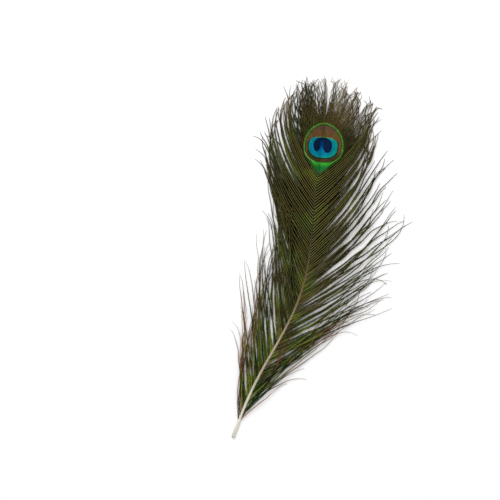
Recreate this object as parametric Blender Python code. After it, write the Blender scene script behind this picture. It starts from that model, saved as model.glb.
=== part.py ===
"""Peacock train feather, lying face up on a flat surface.

One feather is one grown piece: a pale shaft, cut square at its lower end, with loose locks of barbs along
both sides and a close round vane, the eye, at its top. Metres, +Z up, +Y towards the tip of the feather.
The origin is on the flat underside of the shaft, GRIP above the cut end.
Angles along the vane are in degrees, clockwise from +Y as seen from above.
"""

import math

import bmesh
import bpy
from mathutils import Matrix, Vector

MM = 0.001

# Shaft
GRIP = 10 * MM  # from the cut end to the origin
EYE_DISTANCE = 244 * MM  # from the cut end to the middle of the eye, along +Y
BOW_WAVES = (15.7 * MM, -2.0 * MM, -2.6 * MM)  # sideways, in one, two and three half waves between the two
SHAFT_HALF_WIDTHS = ((0.0, 1.45 * MM), (0.35, 1.15 * MM), (0.75, 0.75 * MM), (1.0, 0.5 * MM), (1.07, 0.3 * MM))
SHAFT_END = 1.07  # where the shaft stops inside the eye, as a share of EYE_DISTANCE
SHAFT_STEPS = 32
SHAFT_FLAT = 0.75  # half the flat underside, as a share of the half width
SHAFT_HEIGHT = 1.7  # as a share of the half width
SHAFT_ARC_POINTS = 7

# Locks of barbs: what they do, by the place of their root along the shaft
LOWEST_LOCK, HIGHEST_LOCK = 0.065, 1.055
LAUNCH = ((0.06, 25.0), (0.25, 33.0), (0.6, 39.0), (0.9, 46.0), (0.96, 34.0), (1.0, 23.0), (1.06, 2.0))
BEND = ((0.06, 8.0), (0.5, 18.0), (0.75, 32.0), (0.9, 50.0), (0.96, 34.0), (1.0, 16.0), (1.06, 0.0))
BEND_GROWTH = 1.5  # the power of the bend's growth along a lock: a higher one leaves its lower part straighter
LEAN = ((0.75, 0.0), (0.88, 5.0), (0.95, 3.0), (1.0, 0.0))  # both sides turn this much clockwise
LEAN_LOSS = 0.6  # the share of the lean that is gone at a lock's tip
LAUNCH_SWING = ((0.6, 5.0), (0.8, 0.0))  # how much wider and closer the locks lie by turns
LAUNCH_TURN = 1.7  # radians of the turns' wave from one lock to the next
LENGTH = (
    (0.06, 60 * MM),
    (0.12, 82 * MM),
    (0.22, 95 * MM),
    (0.5, 98 * MM),
    (0.75, 90 * MM),
    (0.9, 78 * MM),
    (1.0, 53 * MM),
    (1.06, 41 * MM),
)
SPACING = ((0.06, 8.6 * MM), (0.7, 7.8 * MM), (0.9, 5.2 * MM), (1.06, 3.6 * MM))
LOCK_HALF_WIDTHS = ((0.0, 0.9 * MM), (0.3, 2.3 * MM), (0.6, 2.5 * MM), (0.85, 1.7 * MM), (1.0, 0.5 * MM))
EYE_LOCK_NARROWING = 0.62  # of a lock's width, for those that grow out of the eye
LOCK_THICKNESS = 0.24  # as a share of the width
LOCK_SIDES = 6
LOCK_STEPS = 6
LOCK_ARCH = 2.2 * MM  # how far the middle of a lock rises above its ends
LOCK_LIFT = 0.5 * MM  # every other lock arches this much more
LENGTH_SWING = 0.09  # how much longer and shorter the locks are by turns
LENGTH_TURN = 2.4  # radians of the turns' wave from one lock to the next
STAGGER = 0.42  # how far the right locks grow above the left ones, as a share of the spacing

# Eye: the round close vane, in its own frame with V along the shaft and U across it
EYE_HALF_WIDTH = 19 * MM
EYE_ABOVE = 24 * MM
EYE_BELOW = 24 * MM
EYE_POINT = 0.35  # how much the lower end draws in to a point
EYE_THICKNESS = 1.3 * MM
EYE_HEIGHT = 1.5 * MM  # of its middle layer above the surface
EYE_SIDES, EYE_RINGS = 40, 6


def along(places, t):
    """The value at t on a line through (place, value) pairs, level past its ends."""
    if t <= places[0][0]:
        return places[0][1]
    for (t0, v0), (t1, v1) in zip(places, places[1:]):
        if t <= t1:
            return v0 + (v1 - v0) * (t - t0) / (t1 - t0)
    return places[-1][1]


def bow_at(t):
    return sum(size * math.sin(math.pi * halves * t) for halves, size in enumerate(BOW_WAVES, 1))


def shaft_slope(t):
    """dx/dy of the shaft's line, which runs on straight past the middle of the eye."""
    turns = [size * halves * math.cos(math.pi * halves * min(t, 1.0)) for halves, size in enumerate(BOW_WAVES, 1)]
    return math.pi * sum(turns) / EYE_DISTANCE


def shaft_point(t):
    """The shaft's line on the surface: t is 0 at the cut end and 1 at the middle of the eye."""
    x = bow_at(min(t, 1.0)) - bow_at(GRIP / EYE_DISTANCE)
    if t > 1.0:
        x += (t - 1.0) * EYE_DISTANCE * shaft_slope(1.0)
    return Vector((x, EYE_DISTANCE * t - GRIP, 0.0))


def shaft_angle(t):
    return math.degrees(math.atan(shaft_slope(t)))


def clear_scene():
    for obj in list(bpy.data.objects):
        bpy.data.objects.remove(obj)


def new_collection(name):
    made = bpy.data.collections.new(name)
    bpy.context.scene.collection.children.link(made)
    return made


def material(name, colour, roughness, metallic):
    made = bpy.data.materials.new(name)
    made.use_nodes = True
    shader = made.node_tree.nodes["Principled BSDF"]
    shader.inputs["Base Color"].default_value = (*colour, 1.0)
    shader.inputs["Roughness"].default_value = roughness
    shader.inputs["Metallic"].default_value = metallic
    return made


def profile_curve(name, points):
    """A closed flat outline that a curve's bevel follows."""
    data = bpy.data.curves.new(name, "CURVE")
    data.dimensions = "2D"
    spline = data.splines.new("POLY")
    spline.points.add(len(points) - 1)
    for point, (x, y) in zip(spline.points, points):
        point.co = (x, y, 0.0, 1.0)
    spline.use_cyclic_u = True
    return bpy.data.objects.new(name, data)


def shaft_profile():
    """The shaft's section for a half width of 1: a round back over a flat underside."""
    points = [(-SHAFT_FLAT, 0.0), (SHAFT_FLAT, 0.0)]
    middle = SHAFT_HEIGHT / 2
    start = math.radians(-30)
    turn = (math.pi - 2 * start) / (SHAFT_ARC_POINTS - 1)
    for i in range(SHAFT_ARC_POINTS):
        angle = start + turn * i
        points.append((math.cos(angle), middle + middle * math.sin(angle)))
    return profile_curve("shaft_profile", points)


def lock_profile():
    """A lock's section for a half width of 1: a thin lens."""
    turn = 2 * math.pi / LOCK_SIDES
    points = [(math.cos(turn * i), LOCK_THICKNESS * math.sin(turn * i)) for i in range(LOCK_SIDES)]
    return profile_curve("lock_profile", points)


def swept(name, points, half_widths, profile, collection):
    """A mesh object: the profile swept along the points, scaled to each half width, with closed ends."""
    data = bpy.data.curves.new(name, "CURVE")
    data.dimensions = "3D"
    data.twist_mode = "Z_UP"
    data.bevel_mode = "OBJECT"
    data.bevel_object = profile
    data.use_fill_caps = True
    spline = data.splines.new("POLY")
    spline.points.add(len(points) - 1)
    for place, point, half_width in zip(spline.points, points, half_widths):
        place.co = (*point, 1.0)
        place.radius = half_width
    curve = bpy.data.objects.new(name + "_path", data)
    bpy.context.scene.collection.objects.link(curve)
    bpy.context.view_layer.update()
    mesh = bpy.data.meshes.new_from_object(curve.evaluated_get(bpy.context.evaluated_depsgraph_get()))
    bpy.data.objects.remove(curve)
    shape = bmesh.new()
    shape.from_mesh(mesh)
    bmesh.ops.remove_doubles(shape, verts=shape.verts, dist=0.001 * MM)
    bmesh.ops.recalc_face_normals(shape, faces=shape.faces)
    shape.to_mesh(mesh)
    shape.free()
    made = bpy.data.objects.new(name, mesh)
    collection.objects.link(made)
    return made


def make_shaft(collection):
    steps = [SHAFT_END * i / SHAFT_STEPS for i in range(SHAFT_STEPS + 1)]
    profile = shaft_profile()
    points = [shaft_point(t) for t in steps]
    made = swept("feather", points, [along(SHAFT_HALF_WIDTHS, t) for t in steps], profile, collection)
    bpy.data.objects.remove(profile)
    return made


def lock_points(side, t, number):
    """The line of one lock: it leaves the shaft at an angle and bends towards the tip of the feather."""
    length = along(LENGTH, t) * (1 + LENGTH_SWING * math.sin(LENGTH_TURN * number + side))
    step = length / LOCK_STEPS
    point = shaft_point(t)
    root_height = 0.6 * SHAFT_HEIGHT * along(SHAFT_HALF_WIDTHS, t)
    tip_height = LOCK_THICKNESS * LOCK_HALF_WIDTHS[-1][1]
    arch = LOCK_ARCH + LOCK_LIFT * (number % 2)
    points = []
    launch = along(LAUNCH, t) + along(LAUNCH_SWING, t) * math.sin(LAUNCH_TURN * number)
    for i in range(LOCK_STEPS + 1):
        share = i / LOCK_STEPS
        height = root_height + (tip_height - root_height) * share**1.5 + arch * math.sin(math.pi * share)
        points.append(Vector((point.x, point.y, height)))
        ahead = share + 0.5 / LOCK_STEPS
        turned = along(BEND, t) * ahead**BEND_GROWTH
        lean = along(LEAN, t) * (1 - LEAN_LOSS * ahead)
        heading = math.radians(shaft_angle(t) + lean + side * (launch - turned))
        point = point + step * Vector((math.sin(heading), math.cos(heading), 0.0))
    return points


def lock_roots():
    """Where the locks grow along the shaft, spaced more closely towards the eye."""
    t, roots = LOWEST_LOCK, []
    while t < HIGHEST_LOCK:
        roots.append(t)
        t += along(SPACING, t) / EYE_DISTANCE
    return roots


def make_locks(collection):
    profile = lock_profile()
    for number, t in enumerate(lock_roots()):
        narrowing = EYE_LOCK_NARROWING + (1 - EYE_LOCK_NARROWING) * min(1.0, max(0.0, (0.95 - t) / 0.15))
        widths = [narrowing * along(LOCK_HALF_WIDTHS, i / LOCK_STEPS) for i in range(LOCK_STEPS + 1)]
        raised = t + STAGGER * along(SPACING, t) / EYE_DISTANCE
        for side, word, root in ((-1, "left", t), (1, "right", raised)):
            swept(f"{word}_lock_{number}", lock_points(side, root, number), widths, profile, collection)
    swept("top_lock", lock_points(0, SHAFT_END - 0.01, 0), widths, profile, collection)
    bpy.data.objects.remove(profile)


def make_eye(collection):
    """A flattened ball drawn into an egg: full above, narrowed to a blunt point below."""
    shape = bmesh.new()
    bmesh.ops.create_uvsphere(shape, u_segments=EYE_SIDES, v_segments=EYE_RINGS, radius=1.0)
    for vert in shape.verts:
        v = vert.co.y
        narrowed = 1.0 - EYE_POINT * max(0.0, -v) ** 2
        reach = EYE_ABOVE if v > 0 else EYE_BELOW
        vert.co = Vector((vert.co.x * EYE_HALF_WIDTH * narrowed, v * reach, vert.co.z * EYE_THICKNESS / 2))
    turn = Matrix.Rotation(-math.radians(shaft_angle(1.0)), 4, "Z")
    place = Matrix.Translation(shaft_point(1.0) + Vector((0.0, 0.0, EYE_HEIGHT)))
    bmesh.ops.transform(shape, matrix=place @ turn, verts=shape.verts)
    mesh = bpy.data.meshes.new("eye_vane")
    shape.to_mesh(mesh)
    shape.free()
    made = bpy.data.objects.new("eye_vane", mesh)
    collection.objects.link(made)
    return made


def fuse(feather, grown):
    """Joins everything that grows on the shaft to it, in one solid."""
    for obj in grown.objects:
        obj.hide_render = True
        obj.display_type = "WIRE"
    joined = feather.modifiers.new("grown on the shaft", "BOOLEAN")
    joined.operation = "UNION"
    joined.operand_type = "COLLECTION"
    joined.collection = grown
    joined.use_self = True


def main():
    clear_scene()
    feather_collection = new_collection("peacock_feather")
    grown = new_collection("grown_on_the_shaft")
    feather = make_shaft(feather_collection)
    make_locks(grown)
    make_eye(grown)
    fuse(feather, grown)
    feather.data.materials.append(material("bronze_green_barbs", (0.09, 0.10, 0.035), 0.45, 0.3))


main()
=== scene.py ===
from collections import namedtuple
import math

import bmesh
import bpy
import numpy as np
from mathutils import Matrix, Vector


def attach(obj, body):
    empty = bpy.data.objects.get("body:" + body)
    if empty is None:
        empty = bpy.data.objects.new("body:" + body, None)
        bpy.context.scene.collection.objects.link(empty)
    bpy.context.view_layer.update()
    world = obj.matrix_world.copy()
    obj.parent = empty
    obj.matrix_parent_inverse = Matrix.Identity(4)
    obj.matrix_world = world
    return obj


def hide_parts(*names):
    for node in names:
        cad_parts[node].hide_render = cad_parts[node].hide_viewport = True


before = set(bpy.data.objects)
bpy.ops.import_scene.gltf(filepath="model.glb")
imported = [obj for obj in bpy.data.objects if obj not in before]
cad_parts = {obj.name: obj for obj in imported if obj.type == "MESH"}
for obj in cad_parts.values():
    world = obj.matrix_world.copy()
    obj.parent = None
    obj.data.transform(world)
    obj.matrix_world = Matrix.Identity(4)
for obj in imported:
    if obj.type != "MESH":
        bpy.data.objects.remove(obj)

# The looks of a peacock train feather lying face up: a carved shaft, loose barbs with their barbules, and the
# close vane of the eye with its markings. Metres, +Z up, +Y towards the tip.
# t is a place along the shaft: 0 at the cut end and 1 at the middle of the eye.
# Angles are in degrees, clockwise from +Y as seen from above.

MM = 0.001
SEED = 11

# The shaft's line, as in the CAD
GRIP = 10 * MM  # from the cut end to the origin
EYE_DISTANCE = 244 * MM
BOW_WAVES = (15.7 * MM, -2.0 * MM, -2.6 * MM)
SHAFT_END = 1.05
SHAFT_HALF_WIDTHS = ((0.0, 1.45), (0.35, 1.1), (0.75, 0.62), (0.9, 0.4), (1.0, 0.3), (1.05, 0.2))  # mm
SHAFT_RINGS, SHAFT_SIDES = 150, 20

# The shaft's section, as shares of its half width
SHAFT_HEIGHT = 1.7
SHAFT_WIDEST = 0.42  # where it is widest, as a share of its height
UNDERSIDE_START = -0.2  # the sine of the angle below which the flat underside starts
UNDERSIDE_WIDTH = 0.9
GROOVE_DEPTH, GROOVE_WIDTH = 0.22, 0.3
PITH_INSET, PITH_DEPTH = 0.22 * MM, 0.12 * MM  # of the pith in the cut end

# The barbs, by the place of their root along the shaft: angles from the shaft in degrees, lengths in mm
LOWEST_BARB, LOWEST_EYE_BARB, HIGHEST_BARB = 0.055, 0.9, 1.06
LAUNCH = ((0.05, 24.0), (0.25, 33.0), (0.6, 39.0), (0.9, 46.0), (0.96, 34.0), (1.0, 23.0), (1.06, 2.0))
BEND = ((0.05, 8.0), (0.5, 18.0), (0.75, 32.0), (0.9, 50.0), (0.96, 34.0), (1.0, 16.0), (1.06, 0.0))
BEND_GROWTH = 1.5  # the power of the bend's growth along a barb: a higher one leaves its start straighter
LEAN = ((0.75, 0.0), (0.88, 5.0), (0.95, 3.0), (1.0, 0.0))  # both sides turn this much clockwise
LEAN_FADE = 0.6  # the share of the lean that is gone at the tip
PARTING = ((1.03, 0.0), (1.06, 9.0))  # that the topmost barbs of the two sides part
STRAY = ((0.05, 5.5), (0.5, 4.0), (0.7, 1.2), (0.85, 0.3), (1.0, 0.3), (1.06, 2.4))  # of whole clumps
SWING = ((0.05, 5.0), (0.6, 4.0), (0.75, 1.6), (0.9, 1.0))  # of single barbs, from side to side
EYE_SWING = ((0.9, 1.0), (0.97, 1.5), (1.0, 5.0), (1.06, 8.0))
SWINGS = 1.1  # to and fro along a barb
LENGTH = (
    (0.05, 46.0), (0.09, 72.0), (0.22, 94.0), (0.5, 98.0), (0.75, 90.0), (0.9, 76.0), (1.0, 53.0),
    (1.06, 42.0),
)
SPACING = ((0.05, 1.5), (0.3, 1.6), (0.5, 2.0), (0.75, 2.6), (0.86, 2.3), (0.91, 1.7))
EYE_SPACING = ((0.9, 1.5), (0.935, 1.1), (0.96, 0.75), (1.0, 0.7), (1.06, 1.2))
WILD = ((0.05, 2.0), (0.2, 1.4), (0.5, 1.0), (0.75, 0.4), (0.88, 0.12))  # how much neighbours differ
CALM = ((0.05, 0.06), (0.6, 0.1), (0.8, 0.28), (0.9, 0.4), (1.0, 0.25), (1.06, 0.1))  # the still share

# How far single barbs differ: a spread is a normal one, and a range has even chances
LAUNCH_SPREAD, BEND_SPREAD, LENGTH_SPREAD = 2.0, 8.0, 0.07
TAME_LENGTH_SPREAD = 0.6  # the share of the length's spread that the tamest barbs have too
CURL_SPREAD, EYE_CURL_SPREAD = 28.0, 44.0  # of a barb's tip
WAVE_RANGE, EYE_WAVE_RANGE = (0.0, 9.0), (10.0, 34.0)
WAVES, EYE_WAVES = 4.5, 6.5  # along a barb
WAVE_GROWTH, CURL_GROWTH = 0.6, 1.5  # powers, as the bend's
CURL_START = 0.72  # the share of a barb past which its tip curls
ROOT_SPREAD = 0.3  # mm along the shaft
WIDTH_RANGE = (0.85, 1.15)
SHIFT_SPREAD = 0.007  # of the markings along a barb, as a share
CLUMP_SIZES = (2, 7)  # from the first, and below the second
CLUMP_LIMIT, CLUMP_SPREAD = 1.6, 0.35  # times the clumps' stray
STREAK_BARBS, STREAK_CONTRAST = 5, 1.1  # of light and dark streaks among the eye barbs
OWN_TONE = 0.35  # the share of an eye barb's tone that it doesn't have from its streak

# The heights of the barbs, in mm
ROOT_HEIGHT = 0.7  # where a barb leaves the shaft, as a share of the shaft's height
ARCH, ARCH_RANGE = 2.0, (-1.2, 1.4)
TIP_HEIGHTS = (0.1, 1.2)
DESCENT = 1.4  # the power of the way down from the root to the tip
ABOVE_WEB = 0.12
WEB_LEFT_FROM, WEB_LEFT_AT = 0.45, 0.75  # the shares of an eye barb between which it leaves the close vane
FLOOR_GAP = 0.03

# The stems and blades of the barbs, by the share of the barb's length, in mm
BARB_STEPS = 44
CORE_SIDES = 3
BARB_RADII = ((0.0, 0.26), (0.4, 0.17), (1.0, 0.05))
EYE_BARB_RADII = ((0.0, 0.05), (0.35, 0.08), (0.55, 0.1), (1.0, 0.05))
BARBULE_LENGTHS = ((0.0, 1.35), (0.1, 1.2), (0.4, 1.0), (0.75, 0.6), (1.0, 0.18))
EYE_BARBULE_LENGTHS = ((0.0, 1.2), (0.1, 1.15), (0.45, 1.05), (0.65, 0.8), (0.82, 0.52), (1.0, 0.22))
MEMBRANE = ((0.0, 1.0), (0.35, 1.0), (0.8, 0.12))  # the blades' bases, grown together: ends at the last place
EYE_MEMBRANE = ((0.0, 1.0), (0.4, 1.0), (0.7, 0.12))
MEMBRANE_DROOP = 0.4
EYE_BARBULE_START = 0.12  # the share of an eye barb past which it has loose barbules

# The same by the place of the barb's root
PACKED = 2.1  # mm between the roots of barbs whose blades show their full painted lit band; closer barbs show less
MEMBRANE_WIDTH = ((0.05, 0.25), (0.35, 0.35), (0.7, 0.75), (0.97, 0.75), (1.02, 0.3))  # a share of the blades
BARBULE_SIZES = ((0.05, 0.8), (0.3, 0.9), (0.5, 1.2), (0.7, 1.6))  # times their lengths
EYE_BARBULE_SIZES = ((0.9, 1.25), (0.97, 1.2), (1.02, 0.75), (1.06, 0.7))

# Barbules
BARBULE_STEP, BARBULE_WIDTH = 0.24, 0.42  # mm
BARBULE_STEP_RANGE = (0.1, 0.9)
BARBULE_ANGLE, BARBULE_ANGLE_SPREAD = 48.0, 7.0
BARBULE_CURL = 18.0  # degrees that the outer half turns towards the barb
BARBULE_REACH_RANGE = (0.75, 1.15)
BARBULE_DROOP, BARBULE_DROOP_SPREAD = 0.3, 0.1
OUTER_DROOP = 1.4  # times as much in the outer half
BARBULE_TWIST_SPREAD = 0.35
BARBULE_TONE_SPREAD = 0.16
BARBULE_FAN = np.array((0.0, 0.0, 0.5, 0.5, 1.0))  # how far out each of a barbule's corners is
BARBULE_RUN = np.array((-0.5, 0.5, -0.5, 0.5, 0.0))  # and how far along the barb, in its widths
BARBULE_FACES = np.array(((0, 2, 3), (0, 3, 1), (2, 4, 3)))

# The bake map: each barb is a straight row
BAKE_MARGIN = 0.01
BAKE_ROW = 0.46  # half the height of a row that is used, as a share of the row
BAKE_CORE, BAKE_BLADES = 0.09, 0.1  # where the stem ends in the row, and where the blades start

# The eye's own frame: U to the right and V up, in mm from the middle of its blue patch
EYE_OFFSET = (1.74, -1.31)  # mm from the shaft's line at t = 1
EYE_TURN = -11.9
EGG_MIDDLE, EGG_HALF_WIDTH, EGG_ABOVE, EGG_BELOW = 0.8, 14.6, 17.1, 12.9  # the bronze field
EGG_POWER_ABOVE, EGG_POWER_BELOW = 1.9, 2.3
RING_OUTSIDE = 1.25  # how far the green ring reaches outside the bronze
WEB_MARGIN = 3.0  # how far the close vane reaches outside the bronze
WEB_ROWS, WEB_COLUMNS_PER_BARB = 54, 4
WEB_SAMPLES = 241  # points along a barb that are tried to find the vane's edge
WEB_HEIGHT, WEB_DOME, WEB_DOME_RADIUS = 1.9, 0.9, 24.0
WEB_RIDGE, WEB_THICKNESS = 0.13, 0.3
WEB_RIM_DROP, WEB_RIM_POWER = 0.5, 6

# The markings, in the eye's frame. An oval has a middle, a half width, heights and powers above and below.
BRONZE_OVAL = ((0.0, EGG_MIDDLE), EGG_HALF_WIDTH, EGG_ABOVE, EGG_BELOW, EGG_POWER_ABOVE, EGG_POWER_BELOW)
PATCH_OVAL = ((-0.3, 0.2), 11.5, 7.9, 8.8, 3.0, 2.5)
HEART_OVAL = ((-0.7, 1.5), 6.95, 5.8, 6.4, 2.1, 2.6)
LOBE_ROUNDING = 2.5  # how round the heart's two lobes end
NOTCH_MIDDLE, NOTCH_TOP, NOTCH_SPREAD = -1.4, 2.0, 0.5  # U, V, and how fast the notch widens on the way down
MIDRIB, APEX = -1.6, -23.0  # U of the midrib below the eye, and V of the green triangle's lowest point
WEDGE_LEFT, WEDGE_RIGHT = 0.72, 0.95  # how fast the triangle widens on the way up
FAN_ROOT = -6.0  # V of the point that the barbs of the eye fan out from
RAGGED, RAGGED_GRAIN = 0.03, 900.0  # how unevenly the markings end, as a share, and how finely

# Shades. The first two numbers are where a shade starts and is full, and two more are its strengths there.

# By height or by width in the eye's frame, in mm
TRIANGLE_LIT, TRIANGLE_DIM = (-16.5, -12.5), (-17.5, -21.0)
BELOW_EYE = (-5.0, -8.0)
LIGHT_RING_HEIGHT, LIGHT_RING_WIDTH = (-10.0, -2.0), (5.0, 9.5)
# a painted glint on the lower left of the ring
GLINT_LOW, GLINT_HIGH, GLINT_LEFT = (-14.0, -11.0, 0.0, 0.8), (-3.0, -6.0), (-4.0, -8.0)
TINT_HEIGHT = (-6.0, 4.0)
PALE_BRONZE, RUSTY_BRONZE, LOW_BRONZE = (8.0, 16.0), (15.0, 9.0), (-1.0, -7.0)
OUTLINE_HEIGHT = (4.0, 6.5, 1.0, 0.3)
TEAL_WIDTH = (-7.0, 8.0, 0.0, 1.6)
RIM_HEIGHT, RIM_WIDTH = (4.0, 6.0), (8.5, 5.5)
STREAK_WIDTH, STREAK_HEIGHT = (2.4, 0.1), (7.0, 2.0, 0.0, 0.8)
VIOLET_WIDTH, VIOLET_HEIGHT = (2.6, 5.0, 0.0, 0.6), (4.5, 1.5)
NOTCH_LIGHT = (-4.5, 1.5)

# By the distance outside an edge, in mm
MIDRIB_LINE = (0.9, 0.1, 0.0, 0.45)
TRIANGLE_EDGE = (-1.8, 0.2, 1.0, 0.0)
TRIANGLE_FRAY, TRIANGLE_HAZE = (0.0, 2.4, 1.0, 0.0), (1.0, 7.0, 0.6, 0.0)
MARKED_EDGE = (RING_OUTSIDE - 0.4, RING_OUTSIDE + 0.4, 1.0, 0.0)
RING_EDGE = (RING_OUTSIDE - 0.4, RING_OUTSIDE + 0.5, 1.0, 0.0)
RING_LINE, RING_TINT = (0.2, 0.7, 0.8, 0.0), (5.5, 1.5, 0.0, 0.6)
BRONZE_EDGE = (-0.7, -0.1, 1.0, 0.0)
PATCH_EDGE, PATCH_OUTLINE = (-0.3, 0.3, 1.0, 0.0), (0.5, 1.2, 0.95, 0.0)
PATCH_TEAL, PATCH_RIM = (-2.0, 0.6), (-1.1, -0.5)
HEART_EDGE_SHADE = (-1.3, -0.4, 0.0, 0.7)
LOBE_EDGE = (LOBE_ROUNDING - 0.75, LOBE_ROUNDING - 0.25)
NOTCH_EDGE = (0.4, -0.6)
LEAST = 0.01  # keeps the rounding of the lobes from a division by 0

# By a noise, which runs from 0 to 1. A grain is the number of its features in a metre.
BLOTCH_GRAIN, TINT_BLOTCHES, RUST_BLOTCHES = 190.0, (0.42, 0.58), (0.42, 0.62, 0.0, 0.65)
# painted glints speckled over the ring
GLINT_GRAIN, RING_GLINTS = 420.0, (0.5, 0.72, 0.0, 0.8)
GREEN_GRAIN, GREEN_PATCHES = 45.0, (0.48, 0.66, 0.0, 0.9)
MOTTLE_GRAIN, MOTTLE = 300.0, (0.2, 0.8, 0.8, 1.2)
HORN_GRAIN, HORN_STREAKS, HORN_STRETCH = 1400.0, (0.4, 0.75, 0.0, 0.4), (1.0, 0.04, 1.0)

# By a barb's tone, which runs from 0 to 1
BRONZE_TONES, YELLOW_TONES = (0.25, 0.9), (0.35, 0.75)
# GLINT_TONES and GLINT_SHARES place painted cream glints on the strands above the eye
CROWN_TONES, GLINT_TONES = (0.1, 0.7, 0.4, 0.9), (0.5, 0.7, 0.0, 0.85)
# painted shade: the blades are darkened by tone to stand for the shade between barbs
BLADE_SHADE_TONES = (0.0, 1.0, 0.1, 0.45)
LOW_STEM_TONES, LOW_LIT_BAND_TONES = (0.2, 0.8, 0.35, 1.15), (0.4, 0.75, 0.05, 0.8)
VANE_TONES = (0.0, 1.0, 0.72, 1.08)

# By the share of the way out along a barb
# GLINT_SHARES: how far out along a barb the painted cream glints reach
TIP_SHARES, GLINT_SHARES = (0.85, 1.25, 0.0, 0.9), (0.4, 0.65, 0.15, 1.0)
UNDERSIDE_RIM_SHARES = (0.75, 1.0)
LOW_REACH, BASE_REACH, TONE_REACH = 0.3, 0.5, 0.3  # by how much the copper reaches further in for each
LOW_GREENER = 0.13  # by how much the green patches grow low on the feather

# By the way out along a barbule, with 1 for its tip
ON_BARB = (0.34, 0.12)
LIT_BAND_ENDS, LIT_BAND_FULL = (0.24, 0.8), 0.06  # the painted lit band beside a barb: high and low on the feather
# painted shade: blades darker away from their barb, on the eye's markings and on the undersides
VANE_FAN_SHADE, BACK_FAN_SHADE = (0.0, 1.5, 1.15, 0.75), (0.0, 1.0, 1.1, 0.6)

# By a rib of the close vane, with 1 on its crest and 0 between two: painted shade between the ribs and a
# painted highlight on their crests
BACK_RIB_SHADE = (0.0, 1.0, 0.75, 1.15)
RIB_HIGHLIGHT = 0.35
RIB_STEM = 0.35  # how much of the stems' colour, with its painted light, a rib shows

# The stems of the barbs, paler than the blades partly in their own colour and partly as painted light, and
# how much of their colour the painted lit bands have
STEM_PALER_AND_LIT = (4.5, 2.0)  # times as light as the blades: along the barb, and at its tip
STEM_OWN_COLOUR = (0.45, 0.8)  # the share of the blades' colour in it: high and low on the feather
LIT_BAND_STRENGTH = 0.45

# Along the feather, in metres from the origin
LOW_ZONE = (0.16, 0.05)  # the barbs turn greener and more coppery
BASE_ZONE = (0.035, 0.005)  # and coppery all over
CROWN_ZONE = (0.242, 0.262)  # and brown above the eye
QUILL_ZONE, UPPER_ZONE, TOP_ZONE = (0.0, 0.06), (0.06, 0.12), (0.10, 0.17)
CUT_ZONE = (-0.00985, -0.00995)
HORN_BELOW = (-0.2, -0.7)  # by how much the surface faces upward

# Colours: sRGB, 0 to 255, before light and shadow, except the glint colours, which are painted highlights,
# and the stems' colour, which is partly painted light
NAVY = (8, 36, 64)
NAVY_STREAK = (2, 72, 134)
LOBE_VIOLET = (26, 32, 64)
HEART_EDGE = (2, 20, 48)
NOTCH_BLUE = (10, 94, 176)
INNER_CYAN = (8, 122, 150)
OUTER_TEAL = (12, 141, 126)
RIM_GREEN = (92, 138, 84)
DARK_LINE = (10, 22, 14)
BRONZE_TOP = (94, 70, 54)
BRONZE_MIDDLE = (97, 80, 44)
BRONZE_RUST = (118, 70, 40)
BRONZE_LOW = (67, 53, 33)
RING_GREEN = (84, 138, 54)
# the colour of the painted glints on the ring
RING_PAINTED_GLINT = (128, 166, 84)
RING_RUST = (74, 46, 20)
RING_SHADE = (34, 64, 24)
TRIANGLE_GREEN = (58, 148, 48)
TRIANGLE_MIDDLE = (22, 105, 40)
TRIANGLE_LOW = (54, 84, 50)
OLIVE = (22, 25, 6)
BRONZE_BARB = (38, 30, 10)
GREEN_BARB = (18, 52, 18)
RUSSET_BARB = (72, 50, 30)
YELLOW_BARB = (66, 74, 14)
COPPER_BARB = (136, 90, 66)
# the stems' colour: partly their own paler colour, partly painted light
CORE_PALE_AND_LIT = (148, 142, 84)
CROWN_BARB = (62, 45, 28)
# the colour of painted cream glints
CROWN_PAINTED_GLINT = (226, 210, 156)
UNDERSIDE = (66, 55, 38)
UNDERSIDE_RIM = (40, 34, 20)
QUILL = (222, 220, 206)
QUILL_MIDDLE = (170, 152, 134)
QUILL_UPPER = (112, 92, 64)
QUILL_TOP = (30, 26, 12)
PITH = (240, 236, 224)

# How the surfaces shine
BARB_METALLIC, BARB_ROUGHNESS = 0.25, 0.45
VANE_METALLIC, VANE_ROUGHNESS = 0.35, 0.42
BARB_SPECULAR = 0.02
BACK_ROUGHNESS, BACK_SPECULAR = 0.6, 0.15
HORN_ROUGHNESS, HORN_SPECULAR = 0.42, 0.3
HORN_BUMP, HORN_BUMP_DEPTH = 0.3, 0.05 * MM

# Camera, light and floor
PHOTO_TILT = 16.9  # how far the feather leans to the right in the photo
VIEW_MIDDLE = (-31.0 * MM, 137.1 * MM)
VIEW_WIDTH = 400 * MM
LENS, SENSOR = 85.0, 36.0
SKY_STRENGTH = 0.75
SOFTBOX_SIZE, SOFTBOX_POWER = 0.9, 11.0
SOFTBOX_PLACE, SOFTBOX_AIM = (-0.55, 0.75, 1.0), (0.0, 0.15, 0.0)
FLOOR_HALF, FLOOR_ROUGHNESS = 4.0, 0.9
FLOOR_WHITE = (0.93, 0.93, 0.93, 1.0)

# What the barbs of the eye and the loose barbs have each their own of
Kind = namedtuple("Kind", "spacing sizes lengths radii membrane swing curl wave waves")
LOOSE = Kind(
    SPACING, BARBULE_SIZES, BARBULE_LENGTHS, BARB_RADII, MEMBRANE, SWING, CURL_SPREAD, WAVE_RANGE, WAVES,
)
EYE = Kind(
    EYE_SPACING, EYE_BARBULE_SIZES, EYE_BARBULE_LENGTHS, EYE_BARB_RADII, EYE_MEMBRANE, EYE_SWING,
    EYE_CURL_SPREAD, EYE_WAVE_RANGE, EYE_WAVES,
)


def along(places, t):
    return np.interp(t, [place for place, _ in places], [value for _, value in places])


def bow_at(t):
    return sum(size * math.sin(math.pi * halves * t) for halves, size in enumerate(BOW_WAVES, 1))


def shaft_slope(t):
    t = min(t, 1.0)
    turns = [size * halves * math.cos(math.pi * halves * t) for halves, size in enumerate(BOW_WAVES, 1)]
    return math.pi * sum(turns) / EYE_DISTANCE


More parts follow.
